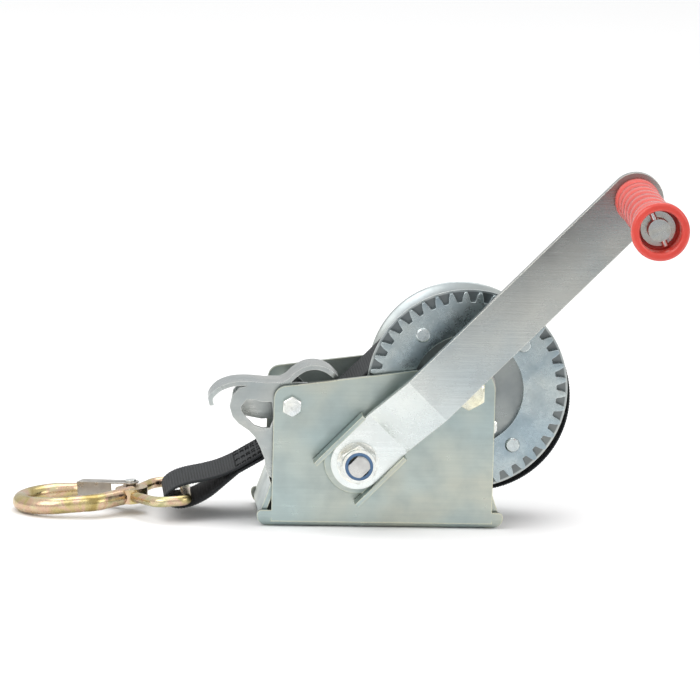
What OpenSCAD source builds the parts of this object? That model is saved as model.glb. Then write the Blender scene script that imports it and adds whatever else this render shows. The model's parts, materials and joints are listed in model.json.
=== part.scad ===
// Hand winch with a webbing strap and a snap hook, for pulling a boat onto its trailer.
// Millimetres. +Z up, +Y away from the crank side, +X from the strap side to the drum side.
// Origin: centre of the base's slot pattern, on the underside of the base.

/* [Frame] */
// base length along X
base_len = 137; // [120:1:160]
// distance between the inner faces of the side plates
inner_w = 66; // [60:1:80]
// sheet thickness of the frame
sheet_t = 3; // [2:0.5:4]
// left edge of the upright part of a side plate
plate_left = -60.5; // [-66:0.5:-50]
// height of the wide foot of a side plate
foot_h = 9.3; // [6:0.1:14]
// height of the side plate's top edge at its left end
plate_top_left = 78.4; // [70:0.1:90]
// rise of the side plate's top edge towards the drum, in degrees
plate_top_slope = 7; // [0:0.5:12]
// radius of the side plate's corner around the drum axle
axle_corner_r = 15; // [12:0.5:20]
// lean of the two end lips from vertical
lip_lean = 19; // [0:1:30]
// width of the base slots
slot_w = 10.5; // [8.5:0.5:13]
// end-to-end length of the base slots, along X
slot_len = 20; // [12:1:24]
// slot spacing along X
slot_dx = 84; // [60:1:100]
// slot spacing along Y
slot_dy = 34; // [26:1:44]

/* [Gears] */
// gear module
gear_m = 2.5; // [2:0.25:3]
// teeth on the drum gear
gear_n = 42; // [36:1:48]
// teeth on the pinion
pinion_n = 16; // [12:1:18]
// thickness of the drum gear
gear_t = 4; // [3:0.5:6]
// drum axis, X
drum_x = 47.3; // [40:0.1:55]
// drum axis, Z
drum_z = 77.6; // [70:0.1:85]
// crank shaft axis, X
shaft_x = -13.8; // [-20:0.1:-8]

/* [Drum] */
// radius of the gear side flange
near_flange_r = 56; // [52:0.5:60]
// radius of the far flange
far_flange_r = 51.5; // [50:0.5:58]
// outer radius of the barrel
barrel_r = 16; // [14:0.5:22]
// outer radius of the wound strap
wound_r = 43; // [36:0.5:44]
// radius of the rivet circle
rivet_circle_r = 40; // [36:0.5:44]

/* [Strap] */
// strap width
strap_w = 50; // [45:1:55]
// strap thickness
strap_t = 2; // [1.5:0.1:2.5]

/* [Crank] */
// crank radius from shaft to grip axis
crank_r = 212; // [180:1:240]
// angle of the crank arm above horizontal
crank_angle = 45.6; // [0:0.1:90]
// width of the arm
arm_w = 30; // [24:1:34]
// thickness of the arm
arm_t = 5; // [4:0.5:6]
// outward step of the arm
arm_step = 15; // [8:1:25]
// grip length
grip_len = 118; // [95:1:130]
// radius of the grip's flared end
grip_end_r = 15.7; // [13:0.1:18]

/* [Pawl] */
// pawl pivot, X
pawl_x = -50.5; // [-54:0.5:-46]
// pawl pivot, Z
pawl_z = 68.2; // [60:0.1:74]

/* [Hook] */
// diameter of the hook's bar
hook_bar_d = 9.5; // [8:0.5:11]
// diameter of the eye's bar
eye_bar_d = 6; // [5:0.5:8]
// downward slope of the hook from the eye to its bend
hook_slope = 5.1; // [0:0.1:10]

/* [Hidden] */
$fn = 64;
eps = 0.01;
half_in = inner_w / 2;
half_out = half_in + sheet_t;
plate_right = drum_x + axle_corner_r;
shaft_z = drum_z - sqrt(pow(gear_m * (gear_n + pinion_n) / 2, 2) - pow(drum_x - shaft_x, 2));
// rotation of the pinion that puts a tooth space on the line of centres
mesh_dir = atan2(drum_z - shaft_z, drum_x - shaft_x);
gap = 0.05;
nut_gap = 0.02;
bolt_play = 0.2;
plate_top_r = 7;
corner_r = 6.5;
bend_r = 6;
lip_bend_r = 5;
lip_side_gap = 1.5;
left_lip_h = 18;
right_lip_h = 14;
axle_d = 10;
axle_af = 17;
axle_head_h = 6.4;
axle_nut_h = 8;
axle_collar_h = 2.5;
axle_collar_r = 7.4;
axle_past = 13;
pawl_bolt_d = 6;
pawl_af = 10;
pawl_head_h = 4;
pawl_nut_h = 5;
pawl_collar_h = 2;
pawl_collar_r = 4.4;
pawl_past = 9;
sleeve_play = 0.1;
sleeve_r = 8;
pawl_sleeve_r = 5;
shaft_r = 8;
shaft_thread_r = 6;
shaft_flat = 4.8;
shaft_past = 5;
groove_depth = 0.8;
groove_y = half_out + 2.4;
groove_w = 1.2;
hub_r = 12;
hub_len = 12;
bush_r = 10.5;
bush_flange_r = 13;
bush_flange_t = 1.5;
// degrees taken off each tooth flank
gear_backlash = 0.16;
pinion_backlash = 0.5;
gear_y = -31;
flange_t = 1.5;
// the far flange leans outward beyond this radius, by this much
flange_bend_r = 41;
flange_dish = 3.5;
near_flange_y = gear_y + gear_t;
far_flange_y = -near_flange_y - flange_t;
hub_bush_len = 14;
barrel_wall = 3;
hub_collar_r = 14;
anchor_r = 24;
anchor_angle = -60;
anchor_d = 6;
anchor_af = 10;
anchor_head_h = 4;
anchor_nut_h = 4.5;
anchor_x = drum_x + anchor_r * cos(anchor_angle);
anchor_z = drum_z + anchor_r * sin(anchor_angle);
rivet_r = 3.5;
rivet_head_r = 4.2;
rivet_head_t = 1.4;
rivet_tail_t = 0.5;
rivet_angle = 40.2;
gear_hole_r = 31;
pinion_y = -32.4;
pinion_t = 5.1;
seat_y = -38;
seat_t = 3;
seat_r = 17.6;
seat_end_r = 18.5;
flange_from = -17.3;
flange_to = 20.7;
flange_depth = 12;
flange_sheet = 2.5;
arm_back = seat_y - seat_t;
step_from = 24.6;
step_to = 53.5;
arm_front = arm_back - arm_t - arm_step;
nut_af = 19;
nut_h = 12;
nut_y = arm_back - arm_t;
nylon_r = 7.8;
nylon_t = 2.4;
crown_r = 9.3;
crown_h = 3;
washer_face_r = 11.6;
washer_face_t = 1.2;
shaft_front = -60.5;
spindle_r = 6;
spindle_shoulder_r = 9;
spindle_shoulder_t = 2;
grip_y = arm_front - spindle_shoulder_t - 0.4;
grip_front = grip_y - grip_len;
grip_recess_r = 11.3;
grip_recess = 16;
spindle_front = grip_front + 7;
spindle_washer_t = 1.5;
spindle_washer_r = 9.5;
washer_play = 0.4;
grip_bore_end = grip_front + grip_recess;
pin_d = 3.2;
pin_len = 19;
pin_back = 3.5;
pin_turn = 115;
grip_x = shaft_x + crank_r * cos(crank_angle);
grip_z = shaft_z + crank_r * sin(crank_angle);
ear_t = 3;
// outer faces of the pawl's two ears
near_ear_y = -31.5;
inner_ear_y = -8.5;
stitch_w = 0.7;
stitch_h = 0.4;
// middle of the loose outer turn of strap and its outer radius
turn_x = drum_x + 4.95;
turn_z = drum_z - 4.95;
turn_r = 53;
turn_start = -200;
// hook pivot: middle of the eye's crossbar
pivot_x = -107;
pivot_z = 13;
eye_half = 29.5;
zinc = [0.78, 0.79, 0.76];
yellow_zinc = [0.80, 0.70, 0.47];
webbing = [0.05, 0.05, 0.06];
red = [0.80, 0.16, 0.12];
steel = [0.62, 0.62, 0.60];
white_nylon = [0.86, 0.86, 0.82];
blue_nylon = [0.13, 0.25, 0.42];

// a solid of revolution about Y; the profile's second axis runs along +Y
module turned() {
  mirror([0, 1, 0]) rotate([90, 0, 0]) children();
}

// a cylinder along +Y that starts at y0
module rod(x, z, y0, len, r) {
  translate([x, y0, z]) rotate([-90, 0, 0]) cylinder(h = len, r = r);
}

// an XZ outline made solid from y0 to y0 + len
module slab(y0, len) {
  translate([0, y0 + len, 0]) rotate([90, 0, 0]) linear_extrude(len) children();
}

// a hexagonal prism along +Y with chamfered outer corners
module hex_head(x, z, y0, len, af) {
  translate([x, y0, z]) rotate([-90, 0, 0]) intersection() {
    rotate([0, 0, 30]) cylinder(h = len, r = af / sqrt(3), $fn = 6);
    union() {
      cylinder(h = len * 0.8, r = af);
      translate([0, 0, len * 0.8]) cylinder(h = len * 0.2, r1 = af / sqrt(3), r2 = af * 0.46);
    }
  }
}

// points along an arc
function arc(cx, cy, r, a0, a1, n) =
  [for (i = [0:n]) let (a = a0 + (a1 - a0) * i / n) [cx + r * cos(a), cy + r * sin(a)]];

// upright part of a side plate in X and Z, with its three holes
module plate_outline() {
  top_x = plate_left + plate_top_r;
  top_z = plate_top_left + plate_top_r * tan(plate_top_slope);
  difference() {
    polygon(concat(
      [[plate_left, sheet_t], [plate_right, sheet_t], [plate_right, drum_z]],
      arc(drum_x, drum_z, axle_corner_r, 0, 90 + plate_top_slope, 16),
      [[top_x, top_z]],
      arc(top_x, top_z - plate_top_r / cos(plate_top_slope), plate_top_r, 90 + plate_top_slope, 180, 8)));
    translate([drum_x, drum_z]) circle(r = axle_d / 2 + bolt_play);
    translate([shaft_x, shaft_z]) circle(r = bush_r);
    translate([pawl_x, pawl_z]) circle(r = pawl_bolt_d / 2 + bolt_play);
  }
}

// wide foot of a side plate, rounded at its ends
module foot_outline() {
  e = base_len / 2;
  polygon(concat(
    arc(-e + 2.5, foot_h - 2.5, 2.5, 180, 90, 4),
    arc(e - 2.5, foot_h - 2.5, 2.5, 90, 0, 4),
    arc(e - corner_r, corner_r, corner_r, 0, -90, 8),
    arc(-e + corner_r, corner_r, corner_r, -90, -180, 8)));
}

// base channel with rounded bends along both long edges, extruded along X
module base_channel(len) {
  rotate([90, 0, 90]) translate([0, 0, -len / 2]) linear_extrude(len) difference() {
    translate([-half_out, 0]) square([2 * half_out, foot_h]);
    translate([-half_in, sheet_t]) square([inner_w, foot_h]);
    for (s = [-1, 1]) difference() {
      translate([s > 0 ? half_out - bend_r : -half_out - 1, -1]) square([bend_r + 1, bend_r + 1]);
      translate([s * (half_out - bend_r), bend_r]) circle(r = bend_r);
    }
  }
}

// lip bent up from the end of the base, between the side plates
module end_lip(side, height) {
  lip_in = half_in - lip_side_gap;
  e = base_len / 2 - corner_r;
  reach = 2 * lip_bend_r;
  mirror([side < 0 ? 1 : 0, 0, 0]) slab(-lip_in, 2 * lip_in) {
    translate([e - sheet_t, 0]) square([sheet_t + eps, sheet_t]);
    intersection() {
      difference() {
        translate([e, lip_bend_r]) circle(r = lip_bend_r);
        translate([e, lip_bend_r]) circle(r = lip_bend_r - sheet_t);
      }
      polygon([[e, lip_bend_r], [e, -1], [e + reach, -1], [e + reach, lip_bend_r + reach * tan(lip_lean)]]);
    }
    translate([e, lip_bend_r]) rotate(lip_lean)
      translate([lip_bend_r - sheet_t, -eps]) square([sheet_t, height]);
  }
}

module frame_channel() {
  color(zinc) {
    difference() {
      union() {
        base_channel(base_len - 2 * corner_r);
        // the two long edges run on to the rounded ends of the feet
        intersection() {
          base_channel(base_len);
          for (s = [0, 1]) mirror([0, s, 0]) slab(half_in - lip_side_gap, 2 * sheet_t) foot_outline();
        }
        slab(-half_out, sheet_t) plate_outline();
        slab(half_in, sheet_t) plate_outline();
        end_lip(-1, left_lip_h);
        end_lip(1, right_lip_h);
      }
      for (sx = [-1, 1]) for (sy = [-1, 1]) translate([sx * slot_dx / 2, sy * slot_dy / 2, -1]) {
        translate([-(slot_len - slot_w) / 2, -slot_w / 2, 0]) cube([slot_len - slot_w, slot_w, sheet_t + 2]);
        for (s = [-1, 1])
          translate([s * (slot_len - slot_w) / 2, 0, 0]) cylinder(h = sheet_t + 2, r = slot_w / 2);
      }
    }
  }
}

module shaft_bushes() {
  color(white_nylon) for (s = [0, 1]) mirror([0, s, 0])
    translate([shaft_x, 0, shaft_z]) turned() rotate_extrude() polygon([
      [shaft_r + gap, -half_out - bush_flange_t], [bush_flange_r, -half_out - bush_flange_t],
      [bush_flange_r, -half_out], [bush_r, -half_out], [bush_r, -half_in], [shaft_r + gap, -half_in]]);
}

// bolt through both side plates, its head on the near one
module frame_bolt(x, z, d, head_h, af, past) {
  translate([0, -half_out, 0]) mirror([0, 1, 0]) hex_head(x, z, 0, head_h, af);
  rod(x, z, -half_out - eps, 2 * half_out + past, d / 2);
}

// locknut on the far side plate, with a round collar for its insert
module frame_nut(x, z, d, h, af, collar_h, collar_r) {
  difference() {
    union() {
      hex_head(x, z, half_out, h, af);
      rod(x, z, half_out + h - 1, collar_h, collar_r);
    }
    rod(x, z, half_out - 1, h + collar_h + 2, d / 2 + nut_gap);
  }
}

// spacer tube between the side plates
module frame_sleeve(x, z, d, r) {
  difference() {
    rod(x, z, -half_in, inner_w, r);
    rod(x, z, -half_in - 1, inner_w + 2, d / 2 + sleeve_play);
  }
}

module drum_axle_bolt() {
  color(yellow_zinc) frame_bolt(drum_x, drum_z, axle_d, axle_head_h, axle_af, axle_past);
}

module drum_axle_nut() {
  color(zinc) frame_nut(drum_x, drum_z, axle_d, axle_nut_h, axle_af, axle_collar_h, axle_collar_r);
}

module axle_sleeve() {
  color(steel) frame_sleeve(drum_x, drum_z, axle_d, sleeve_r);
}

module pawl_bolt() {
  color(zinc) frame_bolt(pawl_x, pawl_z, pawl_bolt_d, pawl_head_h, pawl_af, pawl_past);
}

module pawl_nut() {
  color(zinc) frame_nut(pawl_x, pawl_z, pawl_bolt_d, pawl_nut_h, pawl_af, pawl_collar_h, pawl_collar_r);
}

module pawl_sleeve() {
  color(steel) frame_sleeve(pawl_x, pawl_z, pawl_bolt_d, pawl_sleeve_r);
}

// hand-chosen middle line of the strap after it leaves the drum, in X and Z
run_top = [-30, 65.6];
run_end = [-66, 38.2];
fold_at = [-80, 29.9];
loop_route = [
  fold_at, [-88, 26.2], [-97, 23.6], [-107, 21.4], [-114, 18.6], [-118.3, 14.7], [-118.2, 11], [-115, 8.6],
  [-109.5, 8.1], [-102, 10.2], [-94, 14.8], [-86.5, 21.2]];
// direction in which the strap leaves the drum's outer turn
exit_a = 135;
exit_dir = [-sin(exit_a), cos(exit_a)];
exit_at = [turn_x, turn_z] + (turn_r - strap_t / 2) * [cos(exit_a), sin(exit_a)];
run_dir = (run_end - run_top) / norm(run_end - run_top);
fold_dir = (fold_at - run_end) / norm(fold_at - run_end);
// clear distance between the two sewn layers, and the lower one's length before its bend
layer_gap = 0.2;
sewn_len = 24;

// point on a smooth curve through the points p, between p[i] and the next one
function spline_pt(p, i, t) = let (
  n = len(p) - 1,
  a = p[max(i - 1, 0)], b = p[i], c = p[min(i + 1, n)], d = p[min(i + 2, n)])
  0.5 * ((2 * b) + (c - a) * t + (2 * a - 5 * b + 4 * c - d) * t * t + (3 * b - a - 3 * c + d) * t * t * t);
function spline(p, k) = [for (i = [0:len(p) - 2]) for (j = [0:k - 1]) spline_pt(p, i, j / k)];
function unit(v) = v / norm(v);
function dir_at(p, i) = unit(p[min(i + 1, len(p) - 1)] - p[max(i - 1, 0)]);
function side_at(p, i, h) = let (d = dir_at(p, i)) p[i] + h * [-d[1], d[0]];
function band(p, h) = concat(
  [for (i = [0:len(p) - 1]) side_at(p, i, h)],
  [for (i = [len(p) - 1:-1:0]) side_at(p, i, -h)]);
// step from the upper sewn layer to the lower one, square to a direction
function below(d) = (strap_t + layer_gap) * [-d[1], d[0]];
mid_dir = unit(run_dir + fold_dir);
free_line = concat(
  arc(turn_x, turn_z, turn_r - strap_t / 2, turn_start, exit_a, 60),
  [exit_at + 12 * exit_dir],
  spline([exit_at + 24 * exit_dir, [-12, 81.6], [-21, 73.1], run_top, run_end], 3),
  [run_end],
  spline(concat(loop_route, [fold_at + below(fold_dir)]), 3),
  [fold_at + below(fold_dir), run_end + below(mid_dir), run_end + below(run_dir) - sewn_len * run_dir]);

module strap_tail() {
  color(webbing) slab(-strap_w / 2, strap_w) polygon(band(free_line, strap_t / 2));
}

// rows of stitches on both faces of the sewn part, on either side of its slight bend
module strap_stitching() {
  rows = 4;
  pitch = 3.6;
  edge = 8;
  back = -strap_t * 1.5 - layer_gap - stitch_h;
  color(steel) for (part = [[run_dir, -1, 5], [fold_dir, 1, 4]])
    for (r = [0:rows - 1]) for (k = [0:part[2] - 1]) for (face = [0, 1])
      translate([run_end[0], -strap_w / 2 + edge + r * (strap_w - 2 * edge) / (rows - 1), run_end[1]])
        rotate([0, 180 - atan2(part[0][1], part[0][0]), 0])
        translate([-part[1] * (k + 0.5) * pitch - 0.3 * pitch, -stitch_w / 2, face == 0 ? strap_t / 2 : back])
          cube([pitch * 0.6, stitch_w, stitch_h]);
}

// spur gear outline centred on the origin with a tooth on the +X axis
module gear_outline(n, m, backlash) {
  rp = n * m / 2;
  ra = rp + m;
  rf = rp - 1.2 * m;
  w = 90 / n - backlash;
  polygon([for (i = [0:n - 1]) for (q = [
    [rf, -1.5], [rp - 0.9 * m, -1.3], [rp - 0.5 * m, -1.18], [rp, -1], [rp + 0.55 * m, -0.72], [ra, -0.42],
    [ra, 0.42], [rp + 0.55 * m, 0.72], [rp, 1], [rp - 0.5 * m, 1.18], [rp - 0.9 * m, 1.3], [rf, 1.5]])
      let (a = 360 * i / n + q[1] * w) [q[0] * cos(a), q[0] * sin(a)]]);
}

module drum_gear() {
  color(zinc) difference() {
    translate([drum_x, gear_y + gear_t, drum_z]) rotate([90, 0, 0]) linear_extrude(gear_t)
      rotate(mesh_dir + 180) gear_outline(gear_n, gear_m, gear_backlash);
    rod(drum_x, drum_z, gear_y - 1, gear_t + 2, gear_hole_r);
    drum_rivet_holes(gear_y - 1, gear_t + 2);
  }
}

module drum_rivet_holes(y0, len) {
  for (k = [0:3]) let (a = rivet_angle + 90 * k)
    rod(drum_x + rivet_circle_r * cos(a), drum_z + rivet_circle_r * sin(a), y0, len, rivet_r);
}

module anchor_hole(y0, len) {
  rod(anchor_x, anchor_z, y0, len, anchor_d / 2 + sleeve_play);
}

module near_flange() {
  color(zinc) difference() {
    rod(drum_x, drum_z, near_flange_y, flange_t, near_flange_r);
    rod(drum_x, drum_z, near_flange_y - 1, flange_t + 2, barrel_r);
    drum_rivet_holes(near_flange_y - 1, flange_t + 2);
    anchor_hole(near_flange_y - 1, flange_t + 2);
  }
}

module far_flange() {
  color(zinc) difference() {
    translate([drum_x, far_flange_y, drum_z]) turned() rotate_extrude() polygon([
      [0, 0], [flange_bend_r, 0], [far_flange_r - 1, flange_dish], [far_flange_r, flange_dish + 1],
      [far_flange_r, flange_dish + flange_t], [far_flange_r - 2, flange_dish + flange_t],
      [flange_bend_r, flange_t], [0, flange_t]]);
    rod(drum_x, drum_z, far_flange_y - 1, flange_t + 4, barrel_r);
    anchor_hole(far_flange_y - 1, flange_t + 2);
  }
}

module drum_barrel() {
  color(steel) difference() {
    rod(drum_x, drum_z, near_flange_y, -2 * near_flange_y, barrel_r);
    rod(drum_x, drum_z, near_flange_y - 1, -2 * near_flange_y + 2, barrel_r - barrel_wall);
  }
}

module drum_bushes() {
  color(white_nylon) for (s = [0, 1]) mirror([0, s, 0])
    translate([drum_x, 0, drum_z]) turned() rotate_extrude() polygon([
      [sleeve_r + gap, -half_in + 0.4], [hub_collar_r, -half_in + 0.4], [hub_collar_r, near_flange_y],
      [barrel_r - barrel_wall, near_flange_y], [barrel_r - barrel_wall, near_flange_y + hub_bush_len],
      [sleeve_r + gap, near_flange_y + hub_bush_len]]);
}

module drum_rivets() {
  back = near_flange_y + flange_t;
  color(zinc) for (k = [0:3]) let (a = rivet_angle + 90 * k)
    translate([drum_x + rivet_circle_r * cos(a), 0, drum_z + rivet_circle_r * sin(a)])
      turned() rotate_extrude() polygon([
        [0, gear_y - rivet_head_t], [rivet_head_r - 1, gear_y - rivet_head_t], [rivet_head_r, gear_y - 0.5],
        [rivet_head_r, gear_y], [rivet_r, gear_y], [rivet_r, back],
        [rivet_r + 0.3, back], [rivet_r - 0.5, back + rivet_tail_t], [0, back + rivet_tail_t]]);
}

module wound_strap() {
  turn_step = strap_t + 0.1;
  ring_h = 0.5;
  ring_half = 0.15;
  color(webbing) difference() {
    translate([drum_x, 0, drum_z]) turned() rotate_extrude() polygon(concat(
      [[barrel_r, -strap_w / 2]],
      [for (r = [barrel_r + turn_step:turn_step:wound_r - ring_half])
        for (q = [[-ring_half, 0], [0, ring_h], [ring_half, 0]]) [r + q[0], -strap_w / 2 + q[1]]],
      [[wound_r, -strap_w / 2], [wound_r, strap_w / 2], [barrel_r, strap_w / 2]]));
    anchor_hole(-strap_w, 2 * strap_w);
  }
}

module strap_anchor_bolt() {
  len = -near_flange_y + far_flange_y + flange_t + anchor_nut_h;
  color(steel) {
    translate([0, near_flange_y, 0]) mirror([0, 1, 0])
      hex_head(anchor_x, anchor_z, 0, anchor_head_h, anchor_af);
    rod(anchor_x, anchor_z, near_flange_y - eps, len, anchor_d / 2);
  }
}

module strap_anchor_nut() {
  color(steel) difference() {
    hex_head(anchor_x, anchor_z, far_flange_y + flange_t, anchor_nut_h, anchor_af);
    rod(anchor_x, anchor_z, far_flange_y, 2 * anchor_nut_h, anchor_d / 2 + nut_gap);
  }
}

// double-D outline with its flats along the arm
module double_d(r, flat) {
  rotate(crank_angle) intersection() {
    circle(r = r);
    translate([-r - 1, -flat]) square([2 * r + 2, 2 * flat]);
  }
}

module crank_shaft() {
  color(steel) difference() {
    union() {
      rod(shaft_x, shaft_z, seat_y, -seat_y + half_out + shaft_past, shaft_r);
      translate([shaft_x, 0, shaft_z]) {
        slab(shaft_front + 1, seat_y - shaft_front - 1 + eps) double_d(shaft_thread_r, shaft_flat);
        slab(shaft_front, 1 + eps) double_d(shaft_thread_r - 0.6, shaft_flat);
      }
    }
    translate([shaft_x, 0, shaft_z]) turned() rotate_extrude()
      translate([shaft_r - groove_depth, groove_y]) square([shaft_r, groove_w]);
  }
}

module pinion() {
  color(steel) difference() {
    union() {
      translate([shaft_x, pinion_y + pinion_t, shaft_z]) rotate([90, 0, 0]) linear_extrude(pinion_t)
        rotate(mesh_dir + 180 / pinion_n) gear_outline(pinion_n, gear_m, pinion_backlash);
      rod(shaft_x, shaft_z, pinion_y + pinion_t - eps, hub_len, hub_r);
    }
    rod(shaft_x, shaft_z, pinion_y - 1, pinion_t + hub_len + 2, shaft_r);
  }
}

module shaft_circlip() {
  color(steel) difference() {
    rod(shaft_x, shaft_z, groove_y + gap, groove_w - 2 * gap, shaft_r + 2);
    rod(shaft_x, shaft_z, groove_y - 1, groove_w + 2, shaft_r - groove_depth);
    translate([shaft_x - 2, groove_y - 1, shaft_z - shaft_r - 6]) cube([4, groove_w + 2, 10]);
  }
}

module shaft_washer() {
  color(zinc) difference() {
    rod(shaft_x, shaft_z, half_out + bush_flange_t + 0.1, 0.7, shaft_r + 4);
    rod(shaft_x, shaft_z, half_out, 4, shaft_r + gap);
  }
}

// places an outline drawn along the arm, U outward from the shaft and V across
module on_arm(y0, len) {
  translate([shaft_x, 0, shaft_z]) slab(y0, len) rotate(crank_angle) children();
}

module crank_bracket() {
  color(zinc) difference() {
    union() {
      on_arm(arm_back, seat_t) intersection() {
        union() {
          circle(r = seat_end_r);
          translate([0, -seat_r]) square([flange_to, 2 * seat_r]);
        }
        translate([-2 * seat_r, -seat_r]) square([4 * seat_r, 2 * seat_r]);
      }
      for (s = [0, 1]) on_arm(seat_y - flange_depth, flange_depth) mirror([0, s])
        translate([flange_from, seat_r - flange_sheet]) square([flange_to - flange_from, flange_sheet]);
    }
    translate([shaft_x, 0, shaft_z]) slab(arm_back - 1, seat_t + 2) double_d(shaft_thread_r, shaft_flat);
  }
}

module crank_arm() {
  // how far the front face's bends sit back along the arm
  lag = arm_t * tan(atan2(arm_step, step_to - step_from) / 2);
  f = arm_back - arm_t;
  color(zinc) difference() {
    translate([shaft_x, 0, shaft_z]) rotate([0, -crank_angle, 0]) intersection() {
      translate([0, 0, -arm_w / 2]) linear_extrude(arm_w) polygon([
        [-arm_w / 2, arm_back], [step_from, arm_back], [step_to, arm_back - arm_step],
        [crank_r + arm_w, arm_back - arm_step], [crank_r + arm_w, f - arm_step],
        [step_to - lag, f - arm_step], [step_from - lag, f], [-arm_w / 2, f]]);
      slab(f - arm_step - 1, arm_step + arm_t + 2) union() {
        circle(r = arm_w / 2);
        translate([0, -arm_w / 2]) square([crank_r, arm_w]);
        translate([crank_r, 0]) circle(r = arm_w / 2);
      }
    }
    translate([shaft_x, 0, shaft_z]) slab(f - 1, arm_t + 2) double_d(shaft_thread_r, shaft_flat);
    rod(grip_x, grip_z, arm_front - 1, arm_t + 2, spindle_r - 1);
  }
}

module crank_nut() {
  color(zinc) difference() {
    union() {
      translate([0, nut_y, 0]) mirror([0, 1, 0]) hex_head(shaft_x, shaft_z, 0, nut_h - crown_h, nut_af);
      rod(shaft_x, shaft_z, nut_y - washer_face_t, washer_face_t, washer_face_r);
      rod(shaft_x, shaft_z, nut_y - nut_h, crown_h + 2, crown_r);
    }
    rod(shaft_x, shaft_z, nut_y - nut_h - 1, nut_h + 2, shaft_thread_r + nut_gap);
    rod(shaft_x, shaft_z, nut_y - nut_h - 1, 1 + nylon_t, nylon_r);
  }
}

module crank_nut_insert() {
  color(blue_nylon) difference() {
    rod(shaft_x, shaft_z, nut_y - nut_h + 0.2, nylon_t - 0.2, nylon_r);
    rod(shaft_x, shaft_z, nut_y - nut_h - 1, nylon_t + 2, shaft_thread_r + nut_gap);
  }
}

// puts a part drawn along X in place of the split pin
module at_split_pin() {
  translate([grip_x, spindle_front + pin_back, grip_z]) rotate([0, -pin_turn, 0]) children();
}

module grip_spindle() {
  back = arm_front + arm_t;
  color(steel) difference() {
    union() {
      rod(grip_x, grip_z, spindle_front, arm_front - spindle_front - spindle_shoulder_t, spindle_r);
      rod(grip_x, grip_z, arm_front - spindle_shoulder_t, spindle_shoulder_t, spindle_shoulder_r);
      rod(grip_x, grip_z, arm_front - eps, arm_t + eps, spindle_r - 1);
      translate([grip_x, 0, grip_z]) turned() rotate_extrude() polygon([
        [0, back], [spindle_r + 1.5, back], [spindle_r + 0.5, back + 1.4], [0, back + 1.8]]);
    }
    at_split_pin() translate([-pin_len, 0, 0]) rotate([0, 90, 0])
      cylinder(h = 2 * pin_len, r = pin_d / 2 + nut_gap);
  }
}

module grip_washer() {
  color(zinc) difference() {
    rod(grip_x, grip_z, grip_bore_end - spindle_washer_t - washer_play, spindle_washer_t, spindle_washer_r);
    rod(grip_x, grip_z, grip_bore_end - 2 * spindle_washer_t - 1, 6, spindle_r + gap);
  }
}

module split_pin() {
  leg_gap = 0.1;
  color(steel) at_split_pin() {
    for (s = [0, 1]) mirror([0, s, 0]) difference() {
      translate([-pin_len / 2, 0, 0]) rotate([0, 90, 0]) cylinder(h = pin_len, r = pin_d / 2);
      translate([-pin_len, -pin_d, -pin_d]) cube([2 * pin_len, pin_d + leg_gap / 2, 2 * pin_d]);
    }
    translate([pin_len / 2 - 0.2, 0, 0]) sphere(r = pin_d / 2);
  }
}

// turned about its own axis, with shallow ribs and a flared open end; drawn from the arm outwards
module grip() {
  body_r = 11;
  rib_r = 11.9;
  collar_r = 12.4;
  ribs = 6;
  rib_step = 14;
  rib_from = 10;
  edge = 1.2;
  bore = spindle_r + gap;
  color(red) translate([grip_x, grip_y, grip_z]) mirror([0, 1, 0]) turned() rotate_extrude() polygon(concat(
    [[bore, 0], [collar_r - edge, 0], [collar_r, edge], [collar_r, 6]],
    [for (k = [0:ribs - 1])
      for (q = [[body_r, 0], [rib_r, 2.5], [rib_r, rib_step - 4.5], [body_r, rib_step - 2]])
        [q[0], rib_from + k * rib_step + q[1]]],
    [[body_r + 0.8, grip_len - 19], [grip_end_r - 1.6, grip_len - 9], [grip_end_r, grip_len - 5],
      [grip_end_r, grip_len - edge], [grip_end_r - edge, grip_len], [grip_recess_r + 0.8, grip_len],
      [grip_recess_r, grip_len - 0.8], [grip_recess_r, grip_len - grip_recess],
      [bore, grip_len - grip_recess]]));
}

// ear of the pawl beside the pinion, with its two noses, in X and Z
module near_ear() {
  polygon([
    [-62, 80.4], [-70, 79.6], [-79, 77.2], [-83.4, 72.6], [-84.8, 66.5], [-83, 60.8], [-79.6, 57],
    [-73.6, 53], [-70.2, 49.4], [-67.2, 43.6], [-64.8, 37.6], [-64, 32], [-63, 28.6], [-60.8, 26.8],
    [-52, 26], [-44.5, 28.2], [-40.2, 31.8], [-45, 35.5], [-52, 39], [-55.5, 46], [-54, 53], [-49, 57.5],
    [-38, 59.5], [-31, 61.2], [-26.6, 64.6], [-27.2, 70], [-33, 76], [-42, 80.4]]);
}

// shorter ear of the pawl above the strap, in X and Z
module inner_ear() {
  polygon([
    [-62, 80.4], [-70, 79.6], [-78, 77], [-82, 72.4], [-83, 66.5], [-80.4, 61.6], [-75, 58],
    [-66, 56.4], [-58, 57], [-50, 58.5], [-43, 60.4], [-38.6, 66], [-39.4, 74], [-46, 80.4]]);
}

// lens-shaped window in the near ear
module ear_window() {
  polygon(concat(
    [[-78.4, 66.6], [-75.4, 70.8], [-71, 70.6], [-66.5, 69.4], [-61.4, 69.6]],
    [[-60, 60], [-61.8, 55], [-66, 54.6], [-70.6, 56], [-75, 60], [-78, 64]]));
}

// hand-chosen middle lines of the two thumb tabs, in X and Z
left_tab = [[-65, 78.95], [-74, 79.6], [-83, 79], [-90.5, 76], [-95, 71], [-94.5, 66.5]];
right_tab = [[-56, 79.15], [-52, 81.4], [-48, 85.2], [-42.5, 88.4], [-36, 89], [-30, 86.8], [-25.5, 82.8]];
bridge = [[-66, 77.6], [-55, 77.9], [-55, 80.4], [-66, 80.2]];
tab_t = 2.5;
// how far a tab's plan shape runs inward and outward from its middle
tab_root = 20;
tab_reach = 14;

// curved strip of sheet along a middle line
module tab_strip(pts) {
  polygon(band(concat(spline(pts, 5), [pts[len(pts) - 1]]), tab_t / 2));
}

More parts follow.
